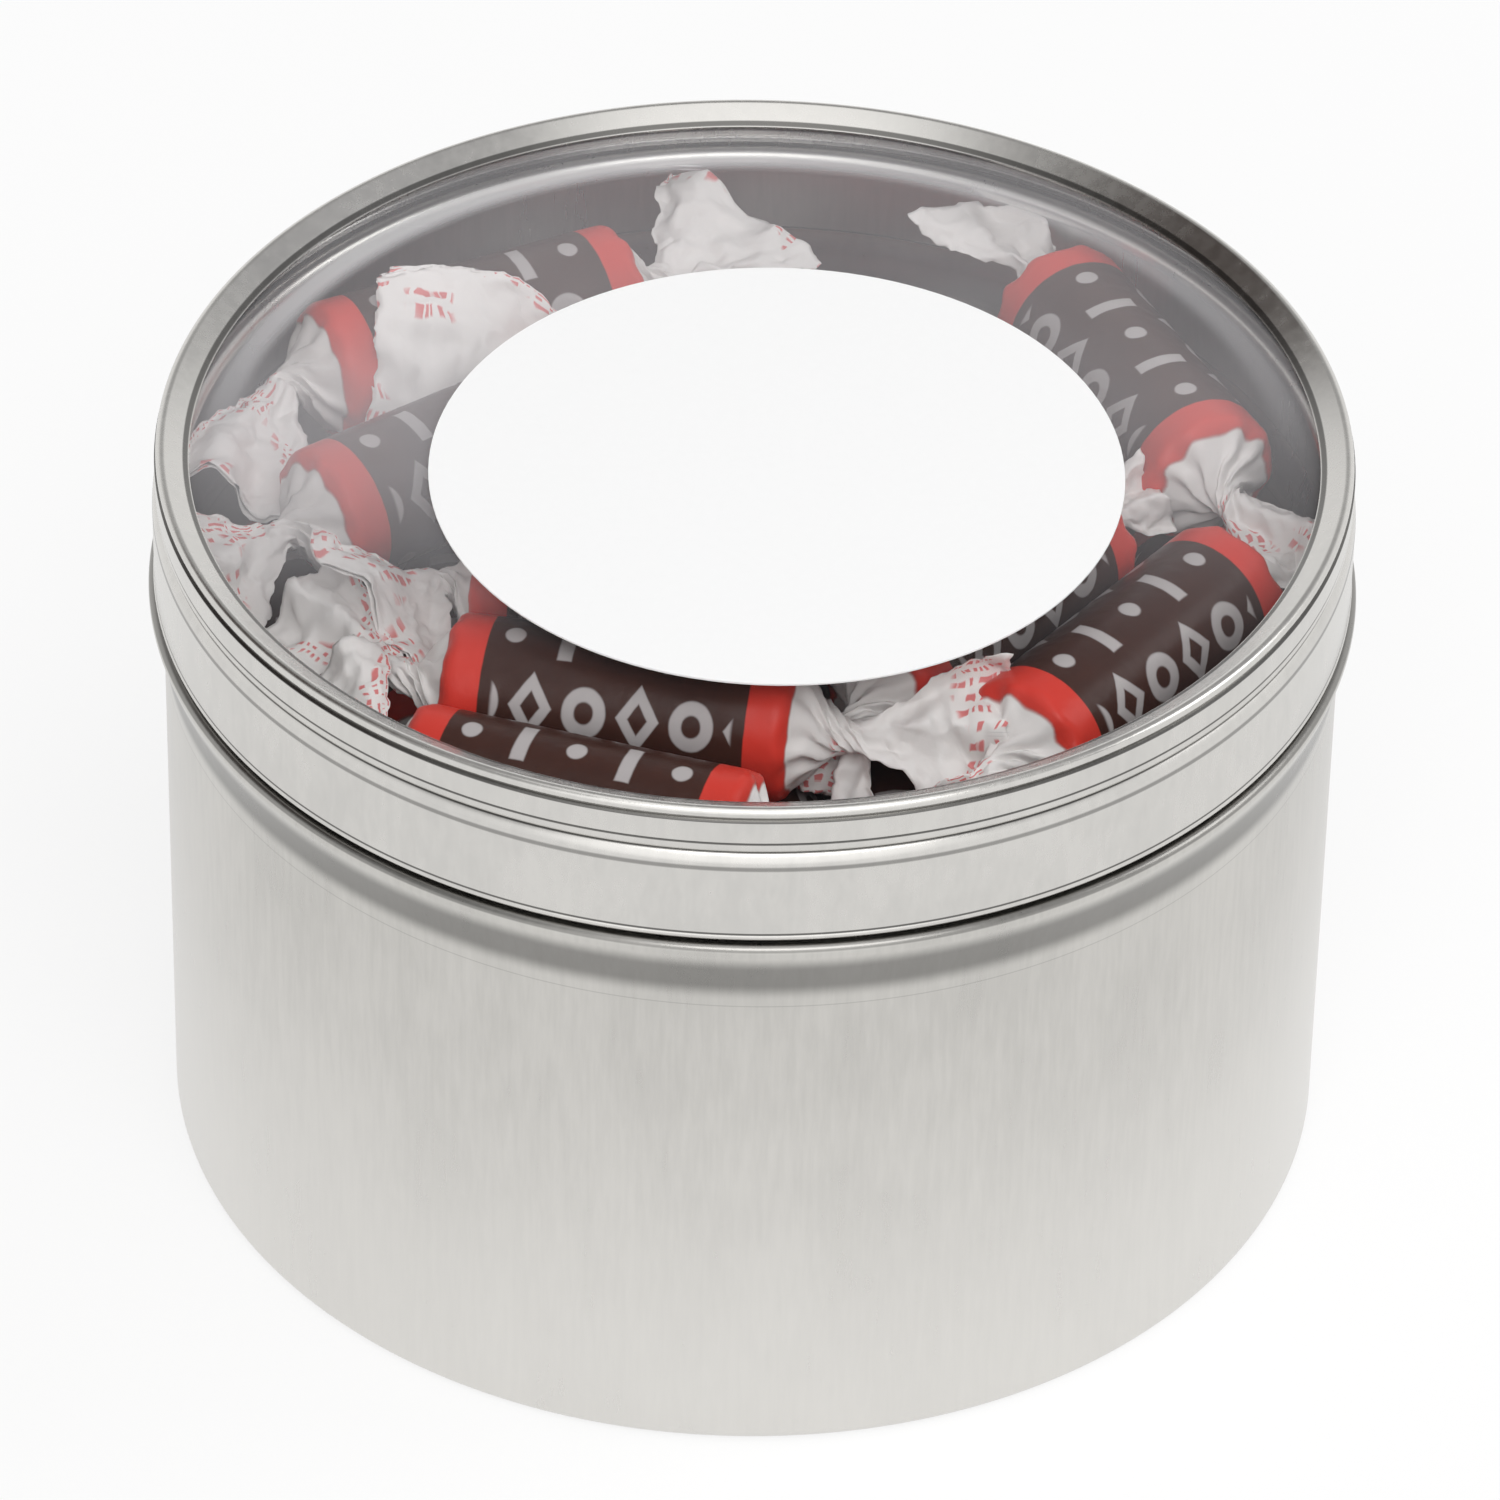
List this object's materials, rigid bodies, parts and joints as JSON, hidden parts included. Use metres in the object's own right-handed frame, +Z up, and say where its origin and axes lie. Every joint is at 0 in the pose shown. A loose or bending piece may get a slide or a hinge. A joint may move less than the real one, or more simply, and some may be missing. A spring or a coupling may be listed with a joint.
{
  "type": "round window lid tin with wrapped chewy sweets",
  "caption": "Round brushed tinplate tin with a lift-off window lid and a plain round label, filled with twist-wrapped chewy sweets.",
  "frame": {"origin": "centre of the base, on the surface the tin stands on", "axes": "+Z up along the tin's axis; -Y towards the picture's camera; +X to the right"},
  "size_m": [0.1048, 0.1048, 0.0698],
  "materials": {
    "tinplate": "brushed tinplate, satin",
    "lid_tinplate": "brushed tinplate, bright on the pressed ridges",
    "clear_window": "clear, slightly hazy",
    "label_paper": "plain white, matt",
    "wax_paper": "waxed, semi-gloss",
    "chew": "soft, dull"
  },
  "bodies": {
    "tin": {"tin_body": "tinplate", "sweet_01_wrapper": "wax_paper", "sweet_02_wrapper": "wax_paper", "sweet_03_wrapper": "wax_paper", "sweet_04_wrapper": "wax_paper", "sweet_05_wrapper": "wax_paper", "sweet_06_wrapper": "wax_paper", "sweet_07_wrapper": "wax_paper", "sweet_08_wrapper": "wax_paper", "sweet_09_wrapper": "wax_paper", "sweet_01_chew": "chew", "sweet_02_chew": "chew", "sweet_03_chew": "chew", "sweet_04_chew": "chew", "sweet_05_chew": "chew", "sweet_06_chew": "chew", "sweet_07_chew": "chew", "sweet_08_chew": "chew", "sweet_09_chew": "chew", "layer_1_wrappers": "wax_paper", "layer_2_wrappers": "wax_paper", "layer_3_wrappers": "wax_paper", "layer_4_wrappers": "wax_paper", "layer_1_chews": "chew", "layer_2_chews": "chew", "layer_3_chews": "chew", "layer_4_chews": "chew"},
    "lid": {"lid_ring": "lid_tinplate", "window_disc": "clear_window", "lid_label": "label_paper"}
  },
  "joints": [
    {"name": "lid_lift", "type": "slide", "parent": "tin", "child": "lid", "axis": [0, 0, 1], "range_m": [0, 0.08]}
  ]
}
